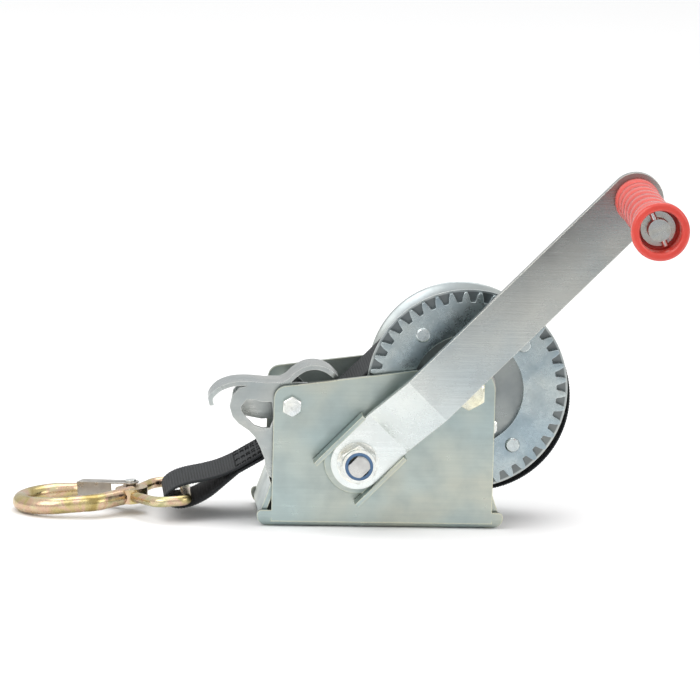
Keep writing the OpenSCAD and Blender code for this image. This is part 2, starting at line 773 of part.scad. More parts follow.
module pawl_lever() {
  len = inner_ear_y - near_ear_y;
  mid = (inner_ear_y + near_ear_y) / 2;
  color(zinc) difference() {
    union() {
      slab(near_ear_y, ear_t) difference() {
        near_ear();
        ear_window();
      }
      slab(inner_ear_y - ear_t, ear_t) inner_ear();
      slab(near_ear_y + ear_t / 2, len - ear_t) polygon(bridge);
      intersection() {
        slab(near_ear_y, len) tab_strip(left_tab);
        translate([-83, mid, 74]) tab_plan(-1);
      }
      intersection() {
        slab(near_ear_y, len) tab_strip(right_tab);
        translate([-37, mid, 74]) tab_plan(1);
      }
    }
    rod(pawl_x, pawl_z, -half_in, inner_w, pawl_sleeve_r + gap);
  }
}

// plan shape that rounds the free end of a thumb tab
module tab_plan(side) {
  w = (inner_ear_y - near_ear_y) / 2;
  r = 8;
  linear_extrude(40, center = true) mirror([side < 0 ? 1 : 0, 0]) union() {
    translate([-tab_root, -w]) square([tab_root + tab_reach - r, 2 * w]);
    translate([tab_reach - r, r - w]) square([r, 2 * (w - r)]);
    for (s = [-1, 1]) translate([tab_reach - r, s * (w - r)]) circle(r = r);
  }
}

// over-centre spring coiled on the sleeve beside the inner ear
module pawl_spring() {
  wire = 1.2;
  pitch = 1.5;
  coil_r = 6.9;
  coils = 5;
  color(steel) for (k = [0:coils - 1])
    translate([pawl_x, inner_ear_y - ear_t - wire - k * pitch, pawl_z]) rotate([90, 0, 0])
      rotate_extrude() translate([coil_r, 0]) circle(r = wire / 2, $fn = 16);
}

// a straight bar is let into its neighbours by lap, and is thinner than they are by skin
lap = 0.4;
skin = 0.06;

// straight bar between two XY points in the hook's own plane
module bar(p, q, d) {
  v = q - p;
  translate([p[0], p[1], 0]) rotate([0, 0, atan2(v[1], v[0])]) rotate([0, 90, 0])
    translate([0, 0, -lap]) cylinder(h = norm(v) + 2 * lap, r = d / 2 - skin);
}

// bent bar about an XY centre, from angle a0 to a1
module bend(c, r, a0, a1, d) {
  translate([c[0], c[1], 0]) rotate([0, 0, a0]) rotate_extrude(angle = a1 - a0)
    translate([r, 0]) circle(r = d / 2);
}

// puts the hook's flat layout at its pivot with its slope
module at_hook() {
  translate([pivot_x, 0, pivot_z]) rotate([0, -hook_slope, 0]) children();
}

// hook layout: neck, latch pivot, bow
neck = [-30, 0];
latch_at = [-30, 8];
bow_c = [-71, 4];
bow_r = 21;
arm_turn = 40;
arm_bend_r = 14;
arm_bend_c = [-55.4, bow_c[1] - bow_r + arm_bend_r];
arm_bend_in = arm_bend_c + arm_bend_r * [cos(arm_turn - 90), sin(arm_turn - 90)];
nose_len = 9;
nose_turn = 25;
nose_bend_c = bow_c + [nose_len, bow_r - arm_bend_r];
nose_tip = nose_bend_c + arm_bend_r * [cos(90 - nose_turn), sin(90 - nose_turn)];
nose_d = hook_bar_d - 1.5;
eye_corner_r = 5;
eye_side = 12;
eye_turn_r = 8;
eye_turn = 60;
eye_leg = 19;
neck_h = 8;
neck_r = 9;
latch_pin_r = 1.75;

module snap_hook() {
  t_c = [-eye_side, eye_half - eye_turn_r];
  t_end = t_c + eye_turn_r * [cos(90 + eye_turn), sin(90 + eye_turn)];
  color(yellow_zinc) at_hook() difference() {
    union() {
      bar([0, -eye_half + eye_corner_r], [0, eye_half - eye_corner_r], eye_bar_d);
      for (s = [0, 1]) mirror([0, s, 0]) {
        bend([-eye_corner_r, eye_half - eye_corner_r], eye_corner_r, 0, 90, eye_bar_d);
        bar([-eye_corner_r, eye_half], [-eye_side, eye_half], eye_bar_d);
        bend(t_c, eye_turn_r, 90, 90 + eye_turn, eye_bar_d);
        bar(t_end, t_end + eye_leg * [-cos(eye_turn), -sin(eye_turn)], eye_bar_d);
      }
      translate([neck[0], neck[1], -neck_h / 2]) cylinder(h = neck_h, r = neck_r);
      translate([latch_at[0], latch_at[1], -neck_h / 2]) cylinder(h = neck_h, r = latch_boss_r);
      bar(neck, arm_bend_in, hook_bar_d);
      bend(arm_bend_c, arm_bend_r, -90, arm_turn - 90, hook_bar_d);
      bar([arm_bend_c[0], bow_c[1] - bow_r], [bow_c[0], bow_c[1] - bow_r], hook_bar_d);
      bend(bow_c, bow_r, 90, 270, hook_bar_d);
      translate([bow_c[0] - lap, bow_c[1] + bow_r, 0]) rotate([0, 90, 0])
        cylinder(h = nose_len + 2 * lap, r1 = hook_bar_d / 2 - skin, r2 = nose_d / 2 - skin);
      bend(nose_bend_c, arm_bend_r, 90 - nose_turn, 90, nose_d);
      translate([nose_tip[0], nose_tip[1], 0]) sphere(r = nose_d / 2 - skin);
    }
    translate([latch_at[0], latch_at[1], -10]) cylinder(h = 20, r = latch_pin_r + nut_gap);
  }
}

latch_v = nose_tip - latch_at;
latch_a = atan2(latch_v[1], latch_v[0]) + 2;
latch_len = norm(latch_v) + 1.5;
latch_web_v = 3.7;
latch_web_from = 10.5;
latch_boss_r = 4.6;
latch_low = 3.6;
latch_sheet = 0.8;
latch_leg_z = 5;

// spring-steel latch, a channel whose legs straddle the hook's nose
module hook_latch() {
  color(steel) at_hook() translate([latch_at[0], latch_at[1], 0]) rotate([0, 0, latch_a]) difference() {
    union() {
      for (s = [0, 1]) mirror([0, 0, s]) translate([0, 0, latch_leg_z]) {
        cylinder(h = latch_sheet, r = latch_boss_r);
        translate([0, -latch_low, 0]) cube([latch_len, latch_low + latch_web_v + latch_sheet, latch_sheet]);
      }
      translate([latch_web_from, latch_web_v, -latch_leg_z - eps])
        cube([latch_len - latch_web_from, latch_sheet, 2 * (latch_leg_z + eps)]);
    }
    translate([0, 0, -10]) cylinder(h = 20, r = latch_pin_r + gap);
  }
}

module latch_rivet() {
  head_t = 1;
  head_r = 3.2;
  half = latch_leg_z + latch_sheet + gap;
  color(steel) at_hook() translate([latch_at[0], latch_at[1], 0]) {
    translate([0, 0, -half]) cylinder(h = 2 * half, r = latch_pin_r);
    for (s = [0, 1]) mirror([0, 0, s]) translate([0, 0, half - eps]) cylinder(h = head_t, r = head_r);
  }
}

// small coils round the rivet between the neck and the latch's legs
module latch_spring() {
  wire = 0.8;
  coil_r = 2.6;
  color(steel) at_hook() translate([latch_at[0], latch_at[1], 0]) for (s = [0, 1]) mirror([0, 0, s])
    translate([0, 0, (neck_h / 2 + latch_leg_z) / 2]) rotate_extrude()
      translate([coil_r, 0]) circle(r = wire / 2, $fn = 16);
}

frame_channel();
shaft_bushes();
drum_axle_bolt();
drum_axle_nut();
axle_sleeve();
pawl_bolt();
pawl_nut();
pawl_sleeve();
strap_tail();
strap_stitching();
drum_gear();
near_flange();
far_flange();
drum_barrel();
drum_bushes();
drum_rivets();
wound_strap();
strap_anchor_bolt();
strap_anchor_nut();
crank_shaft();
pinion();
shaft_circlip();
shaft_washer();
crank_bracket();
crank_arm();
crank_nut();
crank_nut_insert();
grip_spindle();
grip_washer();
split_pin();
grip();
pawl_lever();
pawl_spring();
snap_hook();
hook_latch();
latch_rivet();
latch_spring();
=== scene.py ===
import bpy
import json
import math
from mathutils import Matrix, Vector


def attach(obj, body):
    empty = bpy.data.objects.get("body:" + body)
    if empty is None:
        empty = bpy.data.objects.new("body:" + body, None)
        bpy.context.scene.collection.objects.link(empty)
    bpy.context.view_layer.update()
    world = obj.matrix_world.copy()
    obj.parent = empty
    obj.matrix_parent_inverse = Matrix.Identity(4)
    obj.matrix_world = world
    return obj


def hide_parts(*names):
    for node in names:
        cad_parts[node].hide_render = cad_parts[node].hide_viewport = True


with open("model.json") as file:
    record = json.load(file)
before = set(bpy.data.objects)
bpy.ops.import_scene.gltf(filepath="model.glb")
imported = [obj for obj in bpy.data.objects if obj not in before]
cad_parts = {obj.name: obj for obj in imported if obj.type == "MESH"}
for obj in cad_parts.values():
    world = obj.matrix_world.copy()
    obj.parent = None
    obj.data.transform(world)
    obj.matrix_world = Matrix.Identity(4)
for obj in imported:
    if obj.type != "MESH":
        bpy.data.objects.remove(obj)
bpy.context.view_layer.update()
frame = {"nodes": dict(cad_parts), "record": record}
nodes = frame["nodes"]

# ---------------------------------------------------------------- camera
PITCH, YAW, ROLL = math.radians(9.5), math.radians(3.8), math.radians(1.5)
DISTANCE = 3.5
TARGET = Vector((-0.0167, 0.0001, 0.0940))
forward = Vector((math.sin(YAW) * math.cos(PITCH), math.cos(YAW) * math.cos(PITCH), -math.sin(PITCH)))
side = Vector((math.cos(YAW), -math.sin(YAW), 0.0))
up = side.cross(forward)
side, up = side * math.cos(ROLL) + up * math.sin(ROLL), up * math.cos(ROLL) - side * math.sin(ROLL)
cam_data = bpy.data.cameras.new("camera")
cam = bpy.data.objects.new("camera", cam_data)
bpy.context.scene.collection.objects.link(cam)
rot = Matrix((side, up, -forward)).transposed()
cam.matrix_world = Matrix.Translation(TARGET - DISTANCE * forward) @ rot.to_4x4()
cam_data.sensor_width = 36.0
# focal length that shows a pixel per 1/1.79 mm in a picture 700 pixels wide
cam_data.lens = 1.79 * (DISTANCE * 1000) / 700 * cam_data.sensor_width
cam_data.clip_start = 0.1
cam_data.clip_end = 60.0
bpy.context.scene.camera = cam
bpy.context.scene.view_settings.view_transform = "Standard"


# ---------------------------------------------------------------- materials
# X and Z of the drum's and the crank's axes, in metres, and the arm's angle above horizontal
DRUM_AXIS = (0.0473, 0.0776)
SHAFT_AXIS = (-0.0138, 0.0386)
ARM_ANGLE = math.radians(45.6)


class Shader:
    """Small builder for a procedural material."""

    def __init__(self, name):
        self.mat = bpy.data.materials.new(name)
        self.mat.use_nodes = True
        self.tree = self.mat.node_tree
        self.bsdf = self.tree.nodes["Principled BSDF"]
        self.coord = self.add("ShaderNodeTexCoord").outputs

    def add(self, kind, props=None, **sockets):
        n = self.tree.nodes.new(kind)
        for key, value in (props or {}).items():
            setattr(n, key, value)
        for key, value in sockets.items():
            self.put(n.inputs[key.replace("_", " ")], value)
        return n

    def put(self, socket, value):
        if isinstance(value, bpy.types.NodeSocket):
            self.tree.links.new(value, socket)
        else:
            socket.default_value = value

    def scaled(self, sx, sy, sz, turn=0.0):
        m = self.add("ShaderNodeMapping", Vector=self.coord["Object"])
        m.inputs["Rotation"].default_value = (0.0, turn, 0.0)
        m.inputs["Scale"].default_value = (sx, sy, sz)
        return m.outputs[0]

    def noise(self, scale, detail=3.0, rough=0.5, vector=None, distort=0.0):
        n = self.add(
            "ShaderNodeTexNoise", Scale=scale, Detail=detail, Roughness=rough, Distortion=distort,
            Vector=vector if vector is not None else self.coord["Object"],
        )
        return n.outputs["Fac"]

    def ramp(self, value, *stops):
        r = self.add("ShaderNodeValToRGB", Fac=value)
        band = r.color_ramp
        while len(band.elements) < len(stops):
            band.elements.new(0.5)
        for e, (pos, col) in zip(band.elements, stops):
            e.position = pos
            e.color = (*col, 1.0) if hasattr(col, "__len__") else (col, col, col, 1.0)
        return r.outputs["Color"]

    def span(self, value, lo, hi, a=0.0, b=1.0):
        m = self.add("ShaderNodeMapRange", Value=value)
        for key, v in (("From Min", lo), ("From Max", hi), ("To Min", a), ("To Max", b)):
            m.inputs[key].default_value = v
        return m.outputs[0]

    def math(self, op, a, b=0.0):
        n = self.add("ShaderNodeMath", {"operation": op})
        self.put(n.inputs[0], a)
        self.put(n.inputs[1], b)
        return n.outputs[0]

    def mix(self, fac, a, b, mode="MIX"):
        n = self.add("ShaderNodeMix", {"data_type": "RGBA", "blend_type": mode})
        self.put(n.inputs[0], fac)
        for k, v in ((6, a), (7, b)):
            self.put(n.inputs[k], (*v, 1.0) if isinstance(v, tuple) and len(v) == 3 else v)
        return n.outputs[2]

    def edge(self, radius):
        """0 on faces and near 1 on the object's sharp edges."""
        soft = self.add("ShaderNodeBevel", {"samples": 4}, Radius=radius)
        geo = self.add("ShaderNodeNewGeometry")
        dot = self.add("ShaderNodeVectorMath", {"operation": "DOT_PRODUCT"})
        self.put(dot.inputs[0], soft.outputs[0])
        self.put(dot.inputs[1], geo.outputs["Normal"])
        return self.span(dot.outputs["Value"], 0.985, 0.8)

    def bump(self, height, strength, distance, normal=None):
        b = self.add("ShaderNodeBump", Height=height)
        b.inputs["Strength"].default_value = strength
        b.inputs["Distance"].default_value = distance
        if normal is not None:
            self.put(b.inputs["Normal"], normal)
        return b.outputs[0]

    def finish(self, color, rough, normal=None, **constants):
        self.put(self.bsdf.inputs["Base Color"], color)
        self.put(self.bsdf.inputs["Roughness"], rough)
        if normal is not None:
            self.put(self.bsdf.inputs["Normal"], normal)
        for key, value in constants.items():
            self.bsdf.inputs[key.replace("_", " ")].default_value = value
        return self.mat


def place_from(s, x, z):
    """Position in the frame, and the offsets from an axis along Y."""
    xyz = s.add("ShaderNodeSeparateXYZ", Vector=s.coord["Object"]).outputs
    return xyz, s.math("SUBTRACT", xyz[0], x), s.math("SUBTRACT", xyz[2], z)


def radius(s, dx, dz):
    return s.math("SQRT", s.math("ADD", s.math("MULTIPLY", dx, dx), s.math("MULTIPLY", dz, dz)))


def gear_painted_shade(s, tint):
    """Painted shade on the flange beside the gear: darker behind the teeth and in the gear's open middle, where the
    gear's thickness shades it.
    """
    xyz, dx, dz = place_from(s, *DRUM_AXIS)
    r = radius(s, dx, dz)
    teeth = s.math("MULTIPLY", s.span(r, 0.0470, 0.0490), s.span(r, 0.0551, 0.0546))
    middle = s.span(r, 0.0320, 0.0305, 0.0, 0.42)
    # painted shade mask: the tooth gaps and the gear's open middle, only on the flange beside the gear
    shade = s.math("MULTIPLY", s.math("MAXIMUM", s.math("MULTIPLY", teeth, 0.68), middle),
                   s.span(xyz[1], -0.020, -0.021))
    # mix toward a near-black painted shade colour
    return s.mix(shade, tint, (0.06, 0.07, 0.075))


def rivet_shade(s, tint):
    """The drum's rivet heads take the gear's own plating; other fasteners stay bright."""
    xyz, dx, dz = place_from(s, *DRUM_AXIS)
    r = radius(s, dx, dz)
    on_gear = s.math("MULTIPLY", s.span(r, 0.030, 0.031), s.span(r, 0.052, 0.051))
    side = s.span(xyz[1], -0.0240, -0.0245)
    return s.mix(s.math("MULTIPLY", s.math("MULTIPLY", on_gear, side), 0.8), tint, (0.42, 0.48, 0.50))


def arm_painted_reflection(s, tint):
    """Painted reflection: brighter near the hub and darker along the arm's upper edge, standing in for the light
    and dark that the rolled bar reflects.
    """
    xyz, dx, dz = place_from(s, *SHAFT_AXIS)
    c, k = math.cos(ARM_ANGLE), math.sin(ARM_ANGLE)
    along = s.math("ADD", s.math("MULTIPLY", dx, c), s.math("MULTIPLY", dz, k))
    over = s.math("SUBTRACT", s.math("MULTIPLY", dz, c), s.math("MULTIPLY", dx, k))
    # painted highlight: the bar lighter towards the hub
    tint = s.mix(s.span(along, 0.075, 0.005, 0.0, 0.75), tint, (0.86, 0.90, 0.88))
    # painted reflection: a dark streak along the upper edge of the arm's far part
    upper = s.math("MULTIPLY", s.span(along, 0.06, 0.17), s.span(over, -0.006, 0.014, 0.25, 1.0))
    return s.mix(s.math("MULTIPLY", upper, 0.62), tint, (0.20, 0.21, 0.21))


def plated(name, cool, warm, dark, rim, rough=(0.2, 0.36), blotch=26.0, lines=(30.0, 900.0, 900.0),
           turn=0.0, seed=0.0, worn=0.0007, shade=None, rounded=False):
    """Zinc-plated steel: tinted patches, rolling lines, fine spangle, brighter worn edges."""
    s = Shader(name)
    shift = s.add("ShaderNodeMapping", Vector=s.coord["Object"])
    shift.inputs["Location"].default_value = (seed, seed * 0.7, seed * 1.3)
    wide = s.noise(blotch, 2.5, 0.5, shift.outputs[0], 0.4)
    tint = s.mix(s.ramp(wide, (0.36, 0.0), (0.66, 1.0)), cool, warm)
    cloud = s.noise(blotch * 2.6, 4.0, 0.6, shift.outputs[0])
    tint = s.mix(s.span(cloud, 0.45, 0.75, 0.0, 0.5), tint, dark)
    line = s.noise(1.0, 4.0, 0.7, s.scaled(*lines, turn))
    tint = s.mix(s.span(line, 0.35, 0.7, 0.0, 0.22), tint, dark)
    grain = s.noise(1500.0, 2.0, 0.6)
    # the shade function adds colour by position: painted shade on the flange, painted reflection on the arm, the
    # gear's colour on the rivets
    if shade is not None:
        tint = shade(s, tint)
    tint = s.mix(s.math("MULTIPLY", s.edge(worn), 0.8), tint, rim)
    r = s.span(cloud, 0.3, 0.7, rough[0], rough[1])
    r = s.math("ADD", r, s.span(line, 0.3, 0.7, -0.03, 0.05))
    soft = s.add("ShaderNodeBevel", {"samples": 4}, Radius=0.0006).outputs[0] if rounded else None
    normal = s.bump(line, 0.10, 0.0002, soft)
    normal = s.bump(grain, 0.06, 0.0002, normal)
    normal = s.bump(cloud, 0.05, 0.001, normal)
    return s.finish(tint, r, normal, Metallic=1.0)


def gilt(name):
    """Yellow passivated zinc with its pink and green play of colour."""
    s = Shader(name)
    wide = s.noise(70.0, 2.0, 0.5, None, 0.8)
    tint = s.ramp(wide, (0.30, (0.38, 0.29, 0.11)), (0.44, (0.54, 0.45, 0.22)), (0.55, (0.62, 0.42, 0.31)),
                  (0.64, (0.64, 0.57, 0.35)), (0.76, (0.36, 0.36, 0.17)))
    fine = s.noise(420.0, 4.0, 0.6)
    tint = s.mix(s.span(fine, 0.5, 0.8, 0.0, 0.35), tint, (0.42, 0.31, 0.13))
    normal = s.bump(s.noise(900.0, 3.0, 0.6), 0.10, 0.0002)
    normal = s.bump(s.noise(160.0, 2.0, 0.5), 0.10, 0.0008, normal)
    return s.finish(tint, s.span(fine, 0.3, 0.7, 0.16, 0.34), normal, Metallic=1.0)


def plastic(name, base, deep, rough, grain, sub=0.0):
    """Moulded plastic with a faint skin texture and rubbed high spots."""
    s = Shader(name)
    cloud = s.noise(45.0, 3.0, 0.5)
    tint = s.mix(s.span(cloud, 0.35, 0.7, 0.0, 0.55), base, deep)
    rub = s.edge(0.001)
    tint = s.mix(s.math("MULTIPLY", rub, 0.25), tint, tuple(min(1.0, c * 1.3 + 0.04) for c in base))
    fine = s.noise(grain, 2.0, 0.5)
    normal = s.bump(fine, 0.05, 0.0003)
    normal = s.bump(s.noise(110.0, 2.0, 0.5), 0.06, 0.001, normal)
    r = s.span(s.noise(300.0, 4.0, 0.6), 0.3, 0.7, rough * 0.75, rough * 1.3)
    return s.finish(tint, r, normal, Subsurface_Weight=sub, Subsurface_Scale=0.004)


def woven(name, base, light):
    """Black polyester webbing; UV runs across and along the strap in millimetres."""
    s = Shader(name)
    uv = s.add("ShaderNodeSeparateXYZ", Vector=s.coord["UV"]).outputs
    across = s.math("SINE", s.math("MULTIPLY", uv[0], 2 * math.pi / 1.1))
    along = s.math("SINE", s.math("MULTIPLY", uv[1], 2 * math.pi / 1.6))
    yarn = s.math("MULTIPLY", across, along)
    weave = s.span(s.math("ADD", yarn, s.math("MULTIPLY", along, 0.8)), -1.6, 1.6)
    fuzz = s.noise(2600.0, 4.0, 0.7)
    wide = s.noise(38.0, 3.0, 0.6)
    tint = s.mix(s.span(weave, 0.35, 0.95), base, light)
    tint = s.mix(s.span(wide, 0.4, 0.75, 0.0, 0.25), tint, light)
    tint = s.mix(s.span(fuzz, 0.5, 0.8, 0.0, 0.4), tint, base)
    normal = s.bump(weave, 0.55, 0.0003)
    normal = s.bump(fuzz, 0.25, 0.0002, normal)
    return s.finish(tint, s.span(fuzz, 0.3, 0.8, 0.55, 0.85), normal, Sheen_Weight=0.06, Sheen_Roughness=0.4,
                    Specular_IOR_Level=0.22)


def turned_steel(name, base, dark, rough=(0.24, 0.42)):
    s = Shader(name)
    cloud = s.noise(120.0, 4.0, 0.6)
    line = s.noise(1.0, 3.0, 0.6, s.scaled(500.0, 2600.0, 500.0))
    tint = s.mix(s.span(cloud, 0.35, 0.75), base, dark)
    tint = s.mix(s.math("MULTIPLY", s.edge(0.0004), 0.5), tint, tuple(min(1.0, c * 1.25) for c in base))
    return s.finish(tint, s.span(cloud, 0.3, 0.7, *rough), s.bump(line, 0.12, 0.0002), Metallic=1.0)


def floor_with_painted_falloff(name):
    """Pale paper with painted shade that falls off to a soft grey well in front of the object."""
    s = Shader(name)
    n = s.noise(3.0, 2.0, 0.5)
    y = s.add("ShaderNodeSeparateXYZ", Vector=s.coord["Object"]).outputs[1]
    pale = s.mix(n, (0.93, 0.93, 0.93), (0.95, 0.95, 0.95))
    # painted shade: the floor goes grey far in front of the object
    return s.finish(s.mix(s.span(y, -0.40, -1.05), pale, (0.26, 0.26, 0.27)), 0.9, None, Specular_IOR_Level=0.1)


COOL, WARM, DIM, RIM = (0.40, 0.48, 0.47), (0.49, 0.51, 0.44), (0.31, 0.36, 0.36), (0.84, 0.80, 0.56)
MATS = {
    "zinc_plate": plated("zinc_plate", COOL, WARM, DIM, RIM, (0.26, 0.42), 22.0, (25.0, 800.0, 800.0),
                         worn=0.0011),
    "zinc_gear": plated("zinc_gear", (0.34, 0.42, 0.46), (0.50, 0.55, 0.54), (0.20, 0.26, 0.29), (0.72, 0.77, 0.77),
                        (0.20, 0.34), 34.0, (700.0, 40.0, 700.0), 0.0, 3.1),
    "zinc_flange": plated("zinc_flange", (0.40, 0.44, 0.45), (0.52, 0.55, 0.52), (0.28, 0.31, 0.32),
                          (0.80, 0.82, 0.78), (0.24, 0.4), 24.0, (60.0, 60.0, 60.0), 0.0, 5.3, shade=gear_painted_shade),
    "zinc_arm": plated("zinc_arm", (0.50, 0.56, 0.57), (0.68, 0.69, 0.64), (0.38, 0.41, 0.41), (0.88, 0.87, 0.78),
                       (0.18, 0.32), 18.0, (22.0, 900.0, 900.0), ARM_ANGLE, 1.7, shade=arm_painted_reflection, rounded=True),
    "zinc_pawl": plated("zinc_pawl", (0.40, 0.44, 0.44), (0.50, 0.51, 0.48), (0.30, 0.33, 0.33), (0.82, 0.83, 0.78),
                        (0.22, 0.36), 30.0, (40.0, 700.0, 700.0), 0.0, 7.7),
    "zinc_fastener": plated("zinc_fastener", (0.74, 0.78, 0.78), (0.86, 0.84, 0.74), (0.50, 0.52, 0.52),
                            (0.95, 0.93, 0.84), (0.16, 0.3), 90.0, (900.0, 900.0, 900.0), 0.0, 9.2,
                            shade=rivet_shade),
    "yellow_zinc_bolt": plated("yellow_zinc_bolt", (0.78, 0.78, 0.66), (0.88, 0.84, 0.62), (0.56, 0.54, 0.42),
                               (0.95, 0.92, 0.76), (0.16, 0.3), 120.0, (900.0, 900.0, 900.0), 0.0, 4.4),
    "yellow_zinc": gilt("yellow_zinc"),
    "plain_steel": turned_steel("plain_steel", (0.60, 0.60, 0.58), (0.42, 0.42, 0.41)),
    "spring_steel": turned_steel("spring_steel", (0.52, 0.50, 0.46), (0.34, 0.31, 0.28)),
    "white_nylon": plastic("white_nylon", (0.80, 0.80, 0.76), (0.70, 0.70, 0.65), 0.45, 2200.0, 0.15),
    "blue_nylon": plastic("blue_nylon", (0.07, 0.15, 0.28), (0.035, 0.08, 0.18), 0.35, 2600.0),
    "red_plastic": plastic("red_plastic", (0.66, 0.075, 0.055), (0.48, 0.035, 0.03), 0.2, 1800.0, 0.12),
    "webbing": woven("webbing", (0.002, 0.0024, 0.003), (0.040, 0.046, 0.050)),
    "thread": woven("thread", (0.002, 0.002, 0.0025), (0.014, 0.015, 0.017)),
}

slot_of = {p["node"]: p["material_slot"] for p in frame["record"]["subparts"]}
BEVEL = {
    "frame_channel": 0.0006, "crank_bracket": 0.0005, "pawl_lever": 0.0005,
    "drum_gear": 0.00025, "pinion": 0.00025, "grip": 0.0004, "hook_latch": 0.0002,
}
FLAT_SIDED = ("frame_channel", "crank_bracket", "pawl_lever", "drum_gear", "near_flange", "hook_latch")
SMOOTH_ONLY = ("crank_arm", "snap_hook", "latch_spring", "pawl_spring", "split_pin", "wound_strap",
               "strap_tail", "strap_stitching")
for name, obj in nodes.items():
    mat = MATS[slot_of[name]]
    for s in obj.material_slots:
        s.material = mat
    if not obj.material_slots:
        obj.data.materials.append(mat)
    if name in SMOOTH_ONLY:
        continue
    weld = obj.modifiers.new("weld", "WELD")
    weld.merge_threshold = 0.000002
    bevel = obj.modifiers.new("soft_edges", "BEVEL")
    bevel.width = BEVEL.get(name, 0.0002)
    bevel.segments = 2
    bevel.limit_method = "ANGLE"
    bevel.angle_limit = math.radians(28)
    if name in FLAT_SIDED:
        even = obj.modifiers.new("even_faces", "WEIGHTED_NORMAL")
        even.weight = 90
    else:
        bevel.harden_normals = True


# ---------------------------------------------------------------- strap
def V2(x, z):
    return Vector((x, z))


def arc(cx, cz, r, a0, a1, n):
    return [V2(cx + r * math.cos(math.radians(a0 + (a1 - a0) * i / n)),
               cz + r * math.sin(math.radians(a0 + (a1 - a0) * i / n))) for i in range(n + 1)]


def spline(p, k):
    out = []
    for i in range(len(p) - 1):
        a, b, c, d = p[max(i - 1, 0)], p[i], p[i + 1], p[min(i + 2, len(p) - 1)]
        for j in range(k):
            t = j / k
            out.append(0.5 * ((2 * b) + (c - a) * t + (2 * a - 5 * b + 4 * c - d) * t * t
                              + (3 * b - a - 3 * c + d) * t ** 3))
    return out


def resample(line, step):
    """Points a given distance apart along a line, with the distance of each from its start."""
    total = [0.0]
    for p, q in zip(line, line[1:]):
        total.append(total[-1] + (q - p).length)
    out, s, i = [], 0.0, 0
    while s < total[-1] - 1e-9:
        while total[i + 1] < s:
            i += 1
        t = (s - total[i]) / (total[i + 1] - total[i])
        out.append((line[i].lerp(line[i + 1], t), s))
        s += step(s, total[-1])
    out.append((line[-1], total[-1]))
    return out


# the route of the loose strap, in millimetres, as in the part's source
WIDTH, THICK = 50.0, 2.0
DRUM = V2(47.3, 77.6)
TURN = V2(47.3 + 4.95, 77.6 - 4.95)
TURN_R, TURN_FROM, LEAVE = 53.0, -200.0, 135.0
RUN_TOP, RUN_END, FOLD_AT = V2(-30, 65.6), V2(-66, 38.2), V2(-80, 29.9)
LOOP = [FOLD_AT, V2(-88, 26.2), V2(-97, 23.6), V2(-107, 21.4), V2(-114, 18.6), V2(-118.3, 14.7), V2(-118.2, 11),
        V2(-115, 8.6), V2(-109.5, 8.1), V2(-102, 10.2), V2(-94, 14.8), V2(-86.5, 21.2)]
LAYER_GAP, SEWN = 0.2, 24.0


def unit(v):
    return v / v.length


leave_dir = V2(-math.sin(math.radians(LEAVE)), math.cos(math.radians(LEAVE)))
leave_at = TURN + (TURN_R - THICK / 2) * V2(math.cos(math.radians(LEAVE)), math.sin(math.radians(LEAVE)))
run_dir = unit(RUN_END - RUN_TOP)
fold_dir = unit(FOLD_AT - RUN_END)


def below(d):
    return V2(-d[1], d[0]) * (THICK + LAYER_GAP)


mid_dir = unit(run_dir + fold_dir)
tail_line = (
    arc(TURN.x, TURN.y, TURN_R - THICK / 2, TURN_FROM, LEAVE, 200)
    + [leave_at + 12 * leave_dir]
    + spline([leave_at + 24 * leave_dir, V2(-12, 81.6), V2(-21, 73.1), RUN_TOP, RUN_END], 14)
    + [RUN_END]
    + spline(LOOP + [FOLD_AT + below(fold_dir)], 14)
    + [FOLD_AT + below(fold_dir), RUN_END + below(mid_dir), RUN_END + below(run_dir) - SEWN * run_dir]
)


def band(name, samples, rib, across):
    """A closed ribbon of webbing along the samples, with its weft ribs and rounded selvedges."""
    ys = [-1.0, -0.985, -0.955] + [-0.9 + 1.8 * k / across for k in range(across + 1)] + [0.955, 0.985, 1.0]
    verts, faces, uvs = [], [], []
    last = len(samples) - 1
    pts = [p for p, s in samples]
    for i, (p, s) in enumerate(samples):
        a, b = pts[max(i - 1, 0)], pts[min(i + 1, last)]
        d = unit(b - a)
        n = V2(-d[1], d[0])
        ripple = rib * math.sin(2 * math.pi * s / 1.6)
        for face in (1, -1):
            for y in ys if face == 1 else reversed(ys):
                edge = 1.0 - max(0.0, (abs(y) - 0.93) / 0.07) ** 2.2
                h = THICK / 2 * (0.22 + 0.78 * math.sqrt(max(edge, 0.0))) + ripple * face * edge - rib
                yy = y * (WIDTH / 2 - 0.15) + 0.12 * math.sin(2 * math.pi * s / 3.2) * abs(y) ** 8
                q = p + n * (-face * h)
                verts.append((q[0] / 1000, yy / 1000, q[1] / 1000))
                uvs.append((yy, s if face == 1 else s + 0.8))
    ring = 2 * len(ys)
    for i in range(last):
        for k in range(ring):
            k2 = (k + 1) % ring
            faces.append((i * ring + k, (i + 1) * ring + k, (i + 1) * ring + k2, i * ring + k2))
    for i, flip in ((0, False), (last, True)):
        half = len(ys)
        for k in range(half - 1):
            f = (i * ring + k, i * ring + k + 1, i * ring + ring - 2 - k, i * ring + ring - 1 - k)
            faces.append(tuple(reversed(f)) if flip else f)
    me = bpy.data.meshes.new(name)
    me.from_pydata(verts, [], faces)
    layer = me.uv_layers.new(name="weave")
    for poly in me.polygons:
        poly.use_smooth = True
        for li in poly.loop_indices:
            layer.data[li].uv = uvs[me.loops[li].vertex_index]
    me.validate()
    obj = bpy.data.objects.new(name, me)
    bpy.context.scene.collection.objects.link(obj)
    return obj


def distance_at(target):
    s, best, where = 0.0, 1e9, 0.0
    for p, q in zip(tail_line, tail_line[1:]):
        if (p - target).length < best:
            best, where = (p - target).length, s
        s += (q - p).length
    return where


fold_s, run_s = distance_at(FOLD_AT), distance_at(RUN_END)
seam_from, seam_to = run_s - 20.0, fold_s + 1.0


